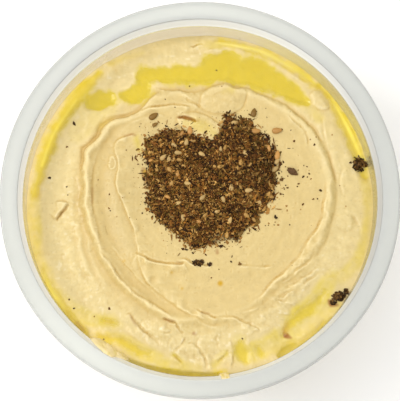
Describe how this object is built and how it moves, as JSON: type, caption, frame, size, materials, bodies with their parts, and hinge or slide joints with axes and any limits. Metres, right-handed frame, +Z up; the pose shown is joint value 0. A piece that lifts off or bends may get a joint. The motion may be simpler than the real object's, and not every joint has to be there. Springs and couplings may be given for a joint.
{
  "type": "hummus in a clear round tub",
  "caption": "Swirled hummus filling an open round clear plastic tub, topped with pools of olive oil and a heart-shaped heap of dried herb and sesame mix.",
  "frame": {"origin": "centre of the tub's foot ring, on the plane that it stands on", "axes": "+Z up along the tub's axis, +Y towards the far side, where the largest pool of oil lies, +X to the right as seen from the near side"},
  "size_m": [0.1216, 0.1216, 0.062],
  "materials": {
    "tub": "thin clear thermoformed polypropylene, glossy",
    "hummus": "smooth moist chickpea paste, satin",
    "oil": "clear golden olive oil, wet gloss",
    "herbs": "dry crumbled za'atar leaf, matt",
    "seeds": "roasted sesame seed, satin"
  },
  "bodies": {
    "root": {"tub": "tub", "hummus": "hummus", "zaatar_heap": "herbs", "oil_pool_far": "oil", "oil_pool_near_right": "oil", "oil_pool_near": "oil", "oil_pool_near_left": "oil", "oil_wall_left": "oil", "oil_wall_lower_left": "oil", "oil_wall_near": "oil", "oil_wall_right": "oil"}
  },
  "joints": []
}
